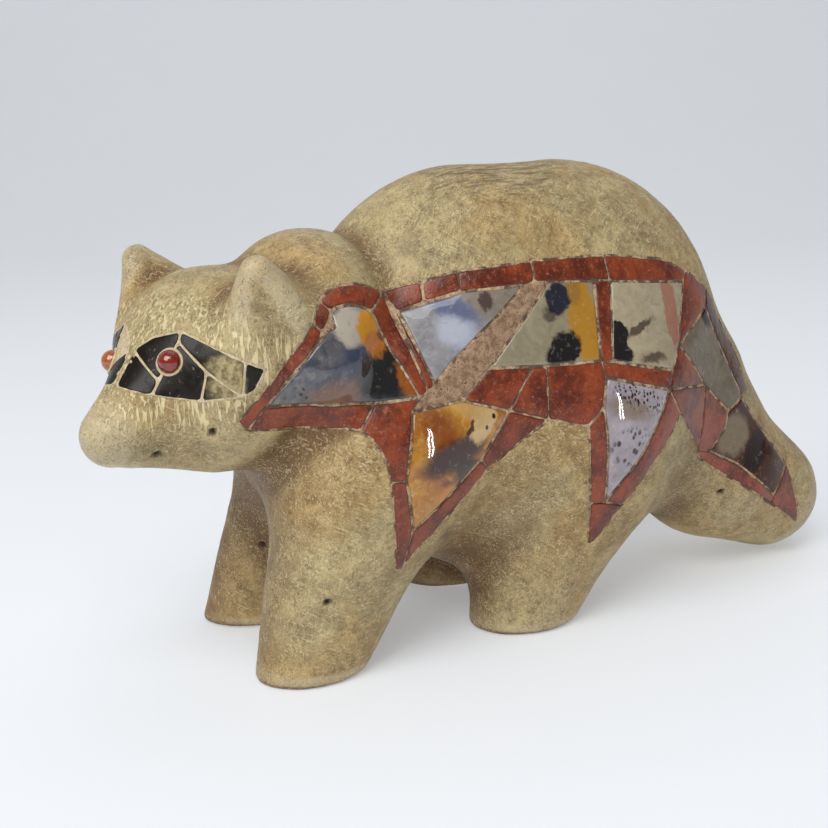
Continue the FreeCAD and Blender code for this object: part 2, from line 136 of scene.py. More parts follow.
def legs_field(p, feet, tops, radii, squeeze):
    """One side's legs. Feet and tops are (fore, hind) points, radii the feet's."""
    fore = tapered(p, feet[0], tops[0], radii[0], 17, squeeze)
    hind = tapered(p, feet[1], tops[1], radii[1], 20, squeeze)
    return join(fore, hind, 3)


def head_field(p):
    q = head_local(p)
    skull = ellipsoid(q, (0, -57, 56), (20, 13, 17))
    skull = join(skull, tapered(q, (0, -61, 54), (0, -78.2, 47.8), 12.5, 5.2), 8)
    skull = join(skull, tapered(q, (0, -58, 47.4), (0, -74, 46.6), 9.3, 4.6), 2)
    for side in (1, -1):
        mirrored = q * np.array([side, 1, 1], dtype=np.float32)
        ear = tapered(mirrored, (12, -50.5, 58), (16.2, -59.6, 73.8), 10.5, 2.2)
        front = tapered(mirrored, (12.5, -60.2, 59), (16, -60.8, 73.4), 6.5, 1.6)
        rear = tapered(mirrored, (17.5, -50, 57), (17, -59.3, 72.8), 7.5, 1.6)
        skull = join(skull, join(ear, join(front, rear, 1), 2), 3)
    return skull


LEFT_LEGS = {
    "feet": ((12.5, -46.8, -4), (11, -0.7, -4)), "tops": ((12, -31, 36), (12, 14, 40)),
    "radii": (8.3, 9), "squeeze": 0.85,
}
RIGHT_LEGS = {
    "feet": ((-20, -45.8, -4), (-20, -0.5, -4)), "tops": ((-12, -28, 36), (-12, 14, 40)),
    "radii": (8.6, 9.5), "squeeze": 0.8,
}


def carving(p):
    """Signed distance to the finished carving, in millimetres."""
    solid = join(trunk_field(p), tail_field(p), 9)
    solid = join(solid, legs_field(p, **LEFT_LEGS), 9)
    solid = join(solid, legs_field(p, **RIGHT_LEGS), 9)
    solid = join(solid, head_field(p), 6)
    return clip(solid, -p[..., 2], 1.5)


def gradient(points, reach=0.15):
    steps = np.eye(3, dtype=np.float32) * reach
    slope = [carving(points + step) - carving(points - step) for step in steps]
    return np.stack(slope, axis=-1) / (2.0 * reach)


def normals_at(points):
    slope = gradient(points)
    return slope / np.maximum(np.linalg.norm(slope, axis=-1, keepdims=True), 1e-6)


def settle(points, rounds=2):
    """Move points onto the carving's surface along its own slope."""
    for _ in range(rounds):
        slope = gradient(points)
        strength = np.maximum(np.einsum("...i,...i->...", slope, slope), 0.05)
        points = points - slope * (carving(points) / strength)[..., None]
    return points


# ---- smooth noise
def lattice(cells, seed):
    x, y, z = (cells[..., axis].astype(np.int64) for axis in range(3))
    value = (x * 374761393 + y * 668265263 + z * 2147483647 + seed * 1274126177) & 0xFFFFFFFF
    value = ((value ^ (value >> 13)) * 1103515245 + 12345) & 0xFFFFFFFF
    value = ((value ^ (value >> 16)) * 2654435761) & 0xFFFFFFFF
    return value.astype(np.float32) / 4294967295.0


def noise(points, size, seed=0):
    """Smooth random values from -1 to 1. Size is the distance between its bumps."""
    q = points / size
    base = np.floor(q)
    f = q - base
    f = f * f * (3.0 - 2.0 * f)
    total = 0.0
    for corner in range(8):
        offset = np.array([corner & 1, corner >> 1 & 1, corner >> 2 & 1])
        weight = np.prod(np.where(offset == 1, f, 1.0 - f), axis=-1)
        total = total + weight * lattice(base + offset, seed)
    return total * 2.0 - 1.0


# ---- meshes
def add_mesh(name, vertices, faces, material):
    mesh = bpy.data.meshes.new(name)
    mesh.from_pydata(vertices, [], faces)
    mesh.validate()
    mesh.polygons.foreach_set("use_smooth", np.ones(len(mesh.polygons), dtype=bool))
    mesh.materials.append(material)
    obj = bpy.data.objects.new(name, mesh)
    bpy.context.scene.collection.objects.link(obj)
    return obj


def make_object(name, vertices, faces, material, slot, attributes=None):
    """A piece from millimetre vertices. Attributes are one number for each vertex."""
    vertices = (np.asarray(vertices, dtype=np.float32) * MM).tolist()
    faces = faces if isinstance(faces, list) else faces.tolist()
    obj = add_mesh(name, vertices, faces, material)
    for key, values in (attributes or {}).items():
        layer = obj.data.attributes.new(key, "FLOAT", "POINT")
        layer.data.foreach_set("value", np.asarray(values, dtype=np.float32))
    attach(obj, BODY)
    return obj


BLOCK = 4                           # a coarse cell is this many voxels wide
FIELD_LOW = (-38.0, -92.0, -4.0)    # the corners of the sampled space
FIELD_HIGH = (42.0, 92.0, 96.0)


def sampled_field(low, high, voxel):
    """The carving's field on a fine grid, worked out only near the surface."""
    coarse = voxel * BLOCK
    counts = np.ceil((np.asarray(high) - low) / coarse).astype(int)
    axes = [low[i] + coarse * (np.arange(counts[i]) + 0.5) for i in range(3)]
    centres = np.stack(np.meshgrid(*axes, indexing="ij"), axis=-1).astype(np.float32)
    rough = carving(centres)
    near = np.abs(rough) < coarse * 1.6
    blocks = np.repeat(rough[..., None], BLOCK ** 3, axis=-1)
    inner = (np.arange(BLOCK) - (BLOCK - 1) / 2.0) * voxel
    offsets = np.stack(np.meshgrid(inner, inner, inner, indexing="ij"), axis=-1).reshape(-1, 3)
    fine = centres[near][:, None, :] + offsets[None].astype(np.float32)
    blocks[near] = carving(fine)
    grid = blocks.reshape(*counts, BLOCK, BLOCK, BLOCK).transpose(0, 3, 1, 4, 2, 5)
    return grid.reshape(*(counts * BLOCK))


def carved_surface(voxel):
    """Quads over the carving's surface, settled onto it."""
    low = np.array(FIELD_LOW)
    values = sampled_field(low, FIELD_HIGH, voxel)
    grid = openvdb.FloatGrid()
    grid.copyFromArray(np.ascontiguousarray(values, dtype=np.float32))
    points, quads = grid.convertToQuads(isovalue=0.0)
    points = low + (points + 0.5) * voxel
    return settle(points.astype(np.float32)), quads


# ---- planes that tiles are drawn in
FLANK_REACH = 36.0      # where the search for the surface starts, out from the plane
MASK_REACH = 9.0
DEEPEST = -8.0          # and where it gives up
SEARCH_ROUNDS = 90
SEARCH_SHARE = 0.8      # of the distance to the surface, covered in each round


class Plane:
    """A flat drawing frame: origin, two drawing directions, and the way out of the stone."""

    def __init__(self, side, origin, across, out, reach):
        self.side = side
        self.origin = np.asarray(origin, dtype=np.float32)
        self.across = np.asarray(across, dtype=np.float32)
        self.up = np.array([0.0, 0.0, 1.0], dtype=np.float32)
        self.out = np.asarray(out, dtype=np.float32)
        self.reach = reach
        self.on_head = reach == MASK_REACH

    def mine(self, points):
        """True for points on this plane's half of the animal."""
        across = head_local(points)[..., 0] if self.on_head else points[..., 0]
        return across * self.side > 0

    def drawn(self, points):
        q = points - self.origin
        return np.stack([q @ self.across, q @ self.up], axis=-1)

    def lifted(self, flat):
        """Each flat point carried to the carving's surface, seen from outside."""
        base = self.origin + flat[:, :1] * self.across + flat[:, 1:] * self.up
        depth = np.full(len(flat), self.reach, dtype=np.float32)
        for _ in range(SEARCH_ROUNDS):
            depth -= SEARCH_SHARE * carving(base + depth[:, None] * self.out)
            depth = np.clip(depth, DEEPEST, self.reach)
        return base + depth[:, None] * self.out


def head_plane(side):
    back = np.array([side, 1.0, 0.0]) / math.sqrt(2.0)
    out = np.array([side, -1.0, 0.0]) / math.sqrt(2.0)
    start = head_world(np.array([0.0, -77.0, 0.0]))
    return Plane(side, start, back @ TO_HEAD.T, out @ TO_HEAD.T, MASK_REACH)


PLANES = {
    ("left", "flank"): Plane(1, (0, 0, 0), (0, 1, 0), (1, 0, 0), FLANK_REACH),
    ("right", "flank"): Plane(-1, (0, 0, 0), (0, 1, 0), (-1, 0, 0), FLANK_REACH),
    ("left", "mask"): head_plane(1),
    ("right", "mask"): head_plane(-1),
}


# ---- outlines read from the CAD nodes
def node_mesh(name):
    """A CAD node's corners, merged, in millimetres, and its triangles."""
    mesh = frame["nodes"][name].data
    points = np.empty(len(mesh.vertices) * 3, dtype=np.float32)
    mesh.vertices.foreach_get("co", points)
    points = points.reshape(-1, 3) / MM
    keys, where = np.unique(np.round(points, 3), axis=0, return_inverse=True)
    mesh.calc_loop_triangles()
    triangles = np.empty(len(mesh.loop_triangles) * 3, dtype=np.int64)
    mesh.loop_triangles.foreach_get("vertices", triangles)
    triangles = where.reshape(-1)[triangles].reshape(-1, 3)
    keep = (triangles[:, 0] != triangles[:, 1]) & (triangles[:, 1] != triangles[:, 2])
    keep &= triangles[:, 0] != triangles[:, 2]
    return keys, triangles[keep]


SOCKET_REACH = 2.45     # corners nearer than this to the bead's centre belong to its socket
LEAST_OUTWARD = 0.12    # a face looks outward when its normal has this share along the plane's
SMALLEST_LOOP = 4.0     # square millimetres
SHARPEST_TURN = -0.87   # the cosine of a turn that goes nearly straight back


def open_edges(triangles):
    """The triangles' directed edges that border on nothing, in order."""
    edges = np.concatenate([triangles[:, [0, 1]], triangles[:, [1, 2]], triangles[:, [2, 0]]])
    directed = {(int(i), int(j)) for i, j in edges}
    return sorted((i, j) for i, j in directed if (j, i) not in directed)


def rim_loops(name, plane):
    """The closed outlines of a node's outward faces, as flat points in the plane."""
    points, triangles = node_mesh(name)
    a, b, c = (points[triangles[:, i]] for i in range(3))
    cross = np.cross(b - a, c - a)
    size = np.maximum(np.linalg.norm(cross, axis=1), 1e-9)
    outward = (cross @ plane.out) / size > LEAST_OUTWARD
    front = triangles[outward & plane.mine((a + b + c) / 3.0)]
    following = {}
    for i, j in open_edges(front):
        following.setdefault(i, []).append(j)
    loops = []
    for start in sorted(following):
        path = [start]
        while following.get(path[-1]):
            here = following[path[-1]].pop()
            if here in path:
                first = path.index(here)
                loops.append(corners_only(plane.drawn(points[path[first:]])))
                path = path[:first + 1]
            else:
                path.append(here)
    loops = [without_spikes(without_socket(loop, plane)) for loop in loops if len(loop) > 2]
    loops = [loop for loop in loops if abs(signed_area(loop)) > SMALLEST_LOOP]
    return sorted(loops, key=lambda loop: -abs(signed_area(loop)))


def without_spikes(loop):
    """Drop the corners at which an outline turns nearly straight back on itself."""
    while len(loop) > 3:
        before = loop - np.roll(loop, 1, axis=0)
        after = np.roll(loop, -1, axis=0) - loop
        lengths = np.linalg.norm(before, axis=1) * np.linalg.norm(after, axis=1)
        turns = np.sum(before * after, axis=1) / np.maximum(lengths, 1e-9)
        worst = int(np.argmin(turns))
        if turns[worst] > SHARPEST_TURN:
            break
        loop = np.delete(loop, worst, axis=0)
    return loop


def without_socket(loop, plane):
    """A mask tile's outline as it was before the bead's socket was cut out of it."""
    if not plane.on_head:
        return loop
    low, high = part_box("left_eye" if plane.side > 0 else "right_eye")
    bead = plane.drawn((np.array(low) + np.array(high)) * 0.5 / MM)
    return loop[np.hypot(*(loop - bead).T) > SOCKET_REACH]


def signed_area(loop):
    x, y = loop[:, 0], loop[:, 1]
    return 0.5 * float(np.sum(x * np.roll(y, -1) - y * np.roll(x, -1)))


def anticlockwise(loop):
    return loop[::-1] if signed_area(loop) < 0 else loop


def corners_only(loop, tolerance=0.06):
    """Drop the points that lie on the straight line between their neighbours."""
    kept = list(range(len(loop)))
    changed = True
    while changed and len(kept) > 3:
        changed = False
        for place in range(len(kept)):
            before = loop[kept[place - 1]]
            here = loop[kept[place]]
            after = loop[kept[(place + 1) % len(kept)]]
            along = after - before
            length = max(float(np.hypot(*along)), 1e-6)
            off = abs(along[0] * (here - before)[1] - along[1] * (here - before)[0]) / length
            if off < tolerance:
                del kept[place]
                changed = True
                break
    return loop[kept]


# ---- flat geometry
def edge_distance(points, loop):
    """Distance from each point to the loop: positive inside, negative outside."""
    best = np.full(len(points), 1e9, dtype=np.float64)
    inside = np.zeros(len(points), dtype=bool)
    for start, end in zip(loop, np.roll(loop, -1, axis=0)):
        along = end - start
        q = points - start
        share = np.clip((q @ along) / max(float(along @ along), 1e-9), 0.0, 1.0)
        gap = q - share[:, None] * along
        best = np.minimum(best, np.einsum("ij,ij->i", gap, gap))
        crosses = (start[1] > points[:, 1]) != (end[1] > points[:, 1])
        with np.errstate(divide="ignore", invalid="ignore"):
            where = start[0] + (points[:, 1] - start[1]) * along[0] / along[1]
        inside ^= crosses & (points[:, 0] < where)
    return np.where(inside, 1.0, -1.0) * np.sqrt(best)


def rounded(loop, cut):
    """Corners cut off at the given distance, then softened once more."""
    for reach in (cut, cut * 0.35):
        points = []
        for before, here, after in zip(np.roll(loop, 1, axis=0), loop, np.roll(loop, -1, axis=0)):
            for other in (before, after):
                length = max(float(np.hypot(*(other - here))), 1e-6)
                points.append(here + (other - here) * min(reach / length, 0.33))
        loop = np.array(points)
    return loop


def resampled(loop, spacing):
    points = []
    for start, end in zip(loop, np.roll(loop, -1, axis=0)):
        steps = max(1, int(math.ceil(float(np.hypot(*(end - start))) / spacing)))
        for step in range(steps):
            points.append(start + (end - start) * step / steps)
    return np.array(points)


def loop_normals(loop):
    along = np.roll(loop, -1, axis=0) - np.roll(loop, 1, axis=0)
    along /= np.maximum(np.linalg.norm(along, axis=1, keepdims=True), 1e-9)
    return np.stack([-along[:, 1], along[:, 0]], axis=-1)


def filled(loop, spacing, rings):
    """Triangles that fill a loop: rings of points along the rim, then an even grid."""
    loop = anticlockwise(loop)
    inward = loop_normals(loop)
    points = [loop]
    for reach in rings:
        ring = loop + inward * reach
        points.append(ring[np.abs(edge_distance(ring, loop) - reach) < reach * 0.12])
    low, high = loop.min(axis=0), loop.max(axis=0)
    columns = np.arange(low[0], high[0], spacing)
    rows = np.arange(low[1], high[1], spacing * 0.866)
    grid = np.stack(np.meshgrid(columns, rows), axis=-1)
    grid[1::2, :, 0] += spacing * 0.5
    grid = grid.reshape(-1, 2)
    margin = (rings[-1] if rings else 0.0) + spacing * 0.5
    points.append(grid[edge_distance(grid, loop) > margin])
    everything = np.concatenate(points)
    border = [list(range(len(loop)))]
    result = delaunay_2d_cdt([Vector(p) for p in everything], [], border, 1, 1e-5)
    flat = np.array([tuple(v) for v in result[0]])
    triangles = np.array(result[2])
    a, b, c = (flat[triangles[:, i]] for i in range(3))
    turned = (b - a)[:, 0] * (c - a)[:, 1] - (b - a)[:, 1] * (c - a)[:, 0] < 0
    triangles[turned] = triangles[turned][:, ::-1]
    return flat, triangles, loop


def closed_slab(top, bottom, triangles):
    """A closed solid from a triangulated top and the same triangles below it."""
    count = len(top)
    walls = [(i, i + count, j + count, j) for i, j in open_edges(triangles)]
    faces = triangles.tolist() + (triangles[:, ::-1] + count).tolist() + walls
    return np.concatenate([top, bottom]), faces


def merged(slabs):
    """Several (vertices, faces) pairs as one."""
    vertices, faces = [], []
    count = 0
    for corners, sides in slabs:
        vertices.append(corners)
        faces.extend([[index + count for index in face] for face in sides])
        count += len(corners)
    return np.concatenate(vertices), faces


# ---- shader helpers
class Shader:
    """A material under construction, with short calls for the nodes used here."""

    def __init__(self, name):
        self.material = bpy.data.materials.new(name)
        self.material.use_nodes = True
        self.tree = self.material.node_tree
        self.surface = self.tree.nodes["Principled BSDF"]
        self.place = self.node("ShaderNodeTexCoord").outputs["Object"]

    def node(self, kind, sockets=(), **settings):
        """A new node. Sockets pairs each socket with an output, a number or a tuple."""
        item = self.tree.nodes.new(kind)
        for key, value in settings.items():
            setattr(item, key, value)
        for key, value in dict(sockets).items():
            self.link(value, item.inputs[key])
        return item

    def link(self, source, target):
        """Join an output to a socket, or set the socket to a plain value, vector or colour."""
        if isinstance(source, tuple):
            target.default_value = (*source, 1.0)[:len(target.default_value)]
        elif isinstance(source, (int, float)):
            target.default_value = source
        else:
            self.tree.links.new(source, target)

    def set(self, **values):
        for key, value in values.items():
            self.surface.inputs[key.replace("_", " ")].default_value = value

    def math(self, operation, a, b=0.0, clamp=False):
        sockets = {0: a, 1: b}
        return self.node("ShaderNodeMath", sockets, operation=operation, use_clamp=clamp).outputs[0]

    def scaled(self, value, factor, offset):
        sockets = {0: value, 1: factor, 2: offset}
        return self.node("ShaderNodeMath", sockets, operation="MULTIPLY_ADD").outputs[0]

    def vector(self, operation, *values, out="Vector"):
        item = self.node("ShaderNodeVectorMath", enumerate(values), operation=operation)
        return item.outputs[out]

    def move(self, vector=None, shift=(0, 0, 0), turn=(0, 0, 0), scale=(1, 1, 1)):
        """The place scaled, then turned, then shifted."""
        place = self.place if vector is None else vector
        sockets = {"Vector": place, "Location": shift, "Rotation": turn, "Scale": scale}
        return self.node("ShaderNodeMapping", sockets).outputs[0]

    def noise(self, size, detail=4.0, rough=0.55, vector=None, warp=0.0, out="Fac"):
        """Noise from 0 to 1. Size is the distance between its bumps, in millimetres."""
        place = self.place if vector is None else vector
        sockets = {"Vector": place, "Scale": 1.0 / (size * MM), "Detail": detail,
                   "Roughness": rough, "Distortion": warp}
        return self.node("ShaderNodeTexNoise", sockets).outputs[out]

    def cells(self, size, vector):
        """Distance to the nearest of many scattered points, as a share of their spacing."""
        sockets = {"Vector": vector, "Scale": 1.0 / (size * MM)}
        return self.node("ShaderNodeTexVoronoi", sockets).outputs["Distance"]

    def step(self, value, low, high):
        """Smooth step from 0 at low to 1 at high. High may be the lower of the two."""
        sockets = {"Value": value, "From Min": low, "From Max": high}
        item = self.node("ShaderNodeMapRange", sockets, interpolation_type="SMOOTHSTEP")
        return item.outputs["Result"]

    def mix(self, share, first, second):
        item = self.node("ShaderNodeMix", data_type="RGBA")
        sockets = {socket.identifier: socket for socket in item.inputs}
        self.link(share, sockets["Factor_Float"])
        self.link(first, sockets["A_Color"])
        self.link(second, sockets["B_Color"])
        return [socket for socket in item.outputs if socket.identifier == "Result_Color"][0]

    def paint(self, colour, mask, strength, tint):
        """The tint, as screen levels, laid over the colour where the mask is."""
        return self.mix(self.math("MULTIPLY", mask, strength), colour, rgb(*tint))

    def layers(self, colour, rows):
        """Several coats of paint, each a mask, a strength and a tint."""
        for row in rows:
            colour = self.paint(colour, *row)
        return colour

    def attribute(self, name):
        return self.node("ShaderNodeAttribute", attribute_name=name).outputs["Fac"]

    def bump(self, height, distance, below=None):
        """Distance in millimetres."""
        sockets = {"Strength": 1.0, "Distance": distance * MM, "Height": height}
        if below is not None:
            sockets["Normal"] = below
        return self.node("ShaderNodeBump", sockets).outputs["Normal"]

    def finish(self, colour=None, roughness=None, normal=None):
        for value, key in ((colour, "Base Color"), (roughness, "Roughness"), (normal, "Normal")):
            if value is not None:
                self.link(value, self.surface.inputs[key])
        return self.material


def rgb(*levels):
    """A screen colour, 0 to 255, as linear light."""
    return tuple(((v / 255.0 + 0.055) / 1.055) ** 2.4 if v > 10 else v / 3294.6 for v in levels)


# ---- the carving's stone
def carved_stone():
    s = Shader("carved_stone")
    broad = s.noise(24, 3, 0.6)
    patch = s.noise(7, 5, 0.65, warp=0.5)
    mottle = s.noise(1.6, 4, 0.7)
    speckle = s.noise(0.42, 3, 0.75)
    shade = s.attribute("hollow")
    polish = s.attribute("polish")
    warm = s.mix(s.step(patch, 0.36, 0.64), rgb(194, 164, 110), rgb(154, 124, 76))
    grey = s.mix(s.step(patch, 0.34, 0.66), rgb(150, 132, 94), rgb(190, 170, 124))
    colour = s.mix(s.step(broad, 0.42, 0.58), warm, grey)
    light_marks = strokes(s, ((0.35, 0.0), (1.0, 0.031), (-1.1, 0.057), (1.6, 0.083)), 0.34)
    dark_marks = strokes(s, ((0.6, 0.011), (-0.8, 0.043), (1.4, 0.071)), 0.3)
    fur = s.math("MULTIPLY", fur_strokes(s), s.attribute("fringe"), clamp=True)
    streak = s.noise(0.8, 4, 0.65, vector=s.move(turn=(0, 0, 0.35), scale=(1.0, 0.14, 0.5)))
    tooling = s.math("MULTIPLY", s.attribute("tooling"), s.step(streak, 0.42, 0.62), clamp=True)
    colour = s.layers(colour, [
        (s.step(mottle, 0.5, 0.68), 0.45, (208, 184, 132)),
        (s.step(mottle, 0.5, 0.32), 0.5, (112, 88, 52)),
        # whitish on thin edges: real polish, and a painted edge highlight
        (polish, 0.5, (208, 194, 162)),
        # painted shade: brown in the hollows and creases
        (s.step(shade, 0.1, 0.9), 0.9, (104, 68, 30)),
        (dark_marks, 0.4, (98, 76, 42)),
        (light_marks, 0.55, (226, 210, 164)),
        (s.step(speckle, 0.44, 0.3), 0.7, (84, 68, 42)),
        (fur, 0.75, (232, 216, 166)),
        (tooling, 0.75, (92, 72, 44)),
        (s.attribute("pits"), 1.0, (44, 30, 20)),
    ])
    rough = s.math("SUBTRACT", s.scaled(mottle, 0.25, 0.42), s.math("MULTIPLY", polish, 0.22))
    height = s.math("ADD", s.math("MULTIPLY", speckle, 0.8), s.math("MULTIPLY", mottle, 0.8))
    height = s.math("ADD", height, s.math("MULTIPLY", dark_marks, -0.5))
    height = s.math("ADD", height, s.math("MULTIPLY", fur, 1.2))
    s.set(Specular_IOR_Level=0.45)
    return s.finish(colour, rough, s.bump(height, 0.11))


def strokes(s, directions, width):
    """Fine strokes left by the abrasive. Each direction is a turn, and a shift to vary it."""
    total = None
    for turn, shift in directions:
        turned = s.move(shift=(shift, shift, shift), turn=(turn, 0.4, 0.3))
        place = s.move(turned, scale=(1.0, 1.0, 0.13))
        line = s.step(s.noise(width, 3, 0.6, vector=place), 0.55, 0.66)
        where = s.step(s.noise(5, 3, vector=s.move(shift=(shift, 0, 0))), 0.42, 0.6)
        line = s.math("MULTIPLY", line, where)
        total = line if total is None else s.math("MAXIMUM", total, line)
    return total


def fur_strokes(s):
    """Parallel cuts round the mask, running down and forward."""
    place = s.move(turn=(-0.5, 0, 0), scale=(1.0, 1.0, 0.1))
    return s.step(s.noise(0.55, 2, 0.5, vector=place), 0.5, 0.6)


# ---- materials of the inlay
def red_stone(name="red_stone", dark=rgb(90, 31, 13), light=rgb(144, 62, 28)):
    s = Shader(name)
    broad = s.noise(6, 4, 0.6)
    grain = s.noise(0.9, 4, 0.7)
    chips = s.noise(0.35, 2, 0.6)
    colour = s.mix(s.step(broad, 0.35, 0.65), dark, light)
    colour = s.paint(colour, s.step(grain, 0.52, 0.7), 0.7, (168, 88, 52))
    colour = s.paint(colour, s.step(grain, 0.42, 0.3), 0.7, (56, 16, 10))
    flecks = s.math("MULTIPLY", s.step(chips, 0.64, 0.74), 0.6)
    colour = s.mix(flecks, colour, rgb(206, 148, 128))
    rim = s.attribute("rim")
    colour = s.paint(colour, s.step(rim, 0.55, 1.0), 0.7, (52, 24, 16))
    normal = s.bump(s.noise(2.6, 3, 0.5), 0.3)
    normal = s.bump(s.math("ADD", grain, s.math("MULTIPLY", chips, 0.5)), 0.07, below=normal)
    s.set(Coat_Weight=0.12, Coat_Roughness=0.25)
    return s.finish(colour, s.scaled(grain, 0.35, 0.2), normal)


def black_stone():
    s = Shader("black_stone")
    dust = s.step(s.noise(0.9, 4, 0.75), 0.6, 0.68)
    gate = s.step(s.noise(2.6, 3), 0.5, 0.62)
    fine = s.step(s.noise(0.45, 2), 0.66, 0.74)
    colour = s.mix(s.noise(3, 4), rgb(16, 12, 10), rgb(34, 25, 20))
    colour = s.mix(s.math("MULTIPLY", dust, gate), colour, rgb(158, 146, 124))
    colour = s.paint(colour, fine, 0.35, (120, 108, 90))
    vein = s.mix(s.step(s.noise(1.2, 4, 0.7), 0.35, 0.65), rgb(112, 100, 66), rgb(178, 162, 120))
    edge = s.math("ADD", s.attribute("olive"), s.scaled(s.noise(2.2, 4, 0.65), 0.9, -0.45))
    colour = s.mix(s.step(edge, 0.2, 0.85), colour, vein)
    s.set(Coat_Weight=0.04, Coat_Roughness=0.12, Specular_IOR_Level=0.25)
    return s.finish(colour, s.scaled(gate, 0.2, 0.3), s.bump(s.noise(1.5, 3), 0.03))


def mortar(name, light, dark, size, stain=0.0):
    """Lime mortar. Stain is how much of it is dark with age, from 0 to 1."""
    s = Shader(name)
    grain = s.noise(size, 4, 0.75)
    colour = s.mix(s.step(grain, 0.35, 0.65), dark, light)
    if stain:
        aged = s.step(s.noise(3.4, 4, 0.7), 0.62 - stain * 0.25, 0.5 - stain * 0.25)
        colour = s.paint(colour, aged, 0.85, (74, 46, 34))
    colour = s.mix(s.step(s.noise(size * 0.5, 2), 0.62, 0.72), colour, rgb(92, 66, 46))
    height = s.math("ADD", grain, s.math("MULTIPLY", s.noise(size * 0.4, 2), 0.5))
    return s.finish(colour, s.scaled(grain, 0.2, 0.7), s.bump(height, 0.25))


def bead_stone(name, dark, light):
    s = Shader(name)
    cloud = s.noise(1.6, 3, 0.5)
    colour = s.mix(s.step(cloud, 0.35, 0.65), dark, light)
    s.set(Roughness=0.05, Coat_Weight=1.0, Coat_Roughness=0.02, IOR=1.54,
          Subsurface_Weight=0.35, Subsurface_Radius=(0.0015, 0.0004, 0.0002))
    return s.finish(colour)


def warped(s, place, size, reach):
    """A place pushed about by noise, up to the reach each way, both in millimetres."""
    cloud = s.noise(size, 5.0, 0.62, out="Color")
    spread = (reach * 4.0 * MM,) * 3
    push = s.vector("MULTIPLY_ADD", cloud, spread, (-reach * 2.0 * MM,) * 3)
    return s.vector("ADD", place, push)


def blotch(s, place, centre, size, turn, soft):
    """A soft-edged patch on a flank: 1 inside an ellipse round (Y, Z), 0 outside."""
    shifted = s.vector("SUBTRACT", place, (0.0, centre[0] * MM, centre[1] * MM))
    turned = s.node("ShaderNodeVectorRotate", {"Vector": shifted, "Angle": -turn},
                    rotation_type="X_AXIS")
    shares = (0.0, 1.0 / (size[0] * MM), 1.0 / (size[1] * MM))
    sized = s.vector("MULTIPLY", turned.outputs[0], shares)
    length = s.vector("LENGTH", sized, out="Value")
    return s.step(length, 1.0 + soft * 0.6, 1.0 - soft * 0.6)


def agate(name, base, patches, dots=(), shift=0.0, gloss=1.0):
    """A polished stone: a cloudy base, coloured patches and clusters of dots, in millimetres.

    Base is three colours, mixed by noise. Shift moves the pattern along Y.
    """
    s = Shader(name)
    place = s.move(shift=(0, shift * MM, 0)) if shift else s.place
    ragged = warped(s, warped(s, place, 3.2, 0.8), 0.8, 0.22)
    cloud = s.noise(5.5, 5, 0.6, warp=0.8)
    wisp = s.noise(2.2, 5, 0.65, warp=1.2)
    colour = s.mix(s.step(cloud, 0.35, 0.65), rgb(*base[0]), rgb(*base[1]))
    colour = s.paint(colour, s.step(wisp, 0.48, 0.72), 0.6, base[2])
    for tint, centre, size, turn, soft, strength in patches:
        mask = blotch(s, ragged, centre, size, turn, soft)
        colour = s.paint(colour, mask, strength, tint)
    for tint, centre, size, turn, pitch, radius in dots:
        mask = blotch(s, ragged, centre, size, turn, 0.5)
        spots = s.step(s.cells(pitch, s.move(scale=(1.0, 1.0, 0.72))), radius, radius * 0.55)
        colour = s.paint(colour, mask, spots, tint)
    smoke = s.noise(1.3, 6, 0.7, warp=0.5)
    colour = s.paint(colour, s.step(smoke, 0.56, 0.76), 0.22, (228, 220, 204))
    colour = s.paint(colour, s.step(smoke, 0.46, 0.26), 0.3, (58, 46, 38))
    rim = s.attribute("rim")
    colour = s.paint(colour, s.step(rim, 0.6, 1.0), 0.75, (46, 28, 20))
    s.set(Roughness=0.06 if gloss > 0.5 else 0.2, IOR=1.0 + 0.5 * gloss, Coat_Weight=0.5 * gloss,
          Coat_Roughness=0.02)
    return s.finish(colour, None, s.bump(s.noise(8, 2), 0.04))


# ---- pieces
def relief(points):
    """The hand-carved unevenness, in millimetres, that the stone and its inlay share."""
    return 0.22 * noise(points, 13.0, 1) + 0.07 * noise(points, 4.0, 2)


def ramp(value, low, high):
    share = np.clip((value - low) / (high - low), 0.0, 1.0)
    return share * share * (3.0 - 2.0 * share)


VOXEL = 0.5
POCKET_DEPTH = 1.2      # below the surface, under the tiles
PIT_DEPTH = 0.7
PITS = [    # centre, radius: small holes left in the stone
    ((14.6, -70.3, 44.5), 1.0),
    ((18.8, -62.2, 47.9), 0.9),
    ((-7.5, -45.1, 18.2), 0.9),
    ((21.9, -44.6, 16.2), 0.8),
    ((15.6, 47.6, 19.7), 0.9),
]


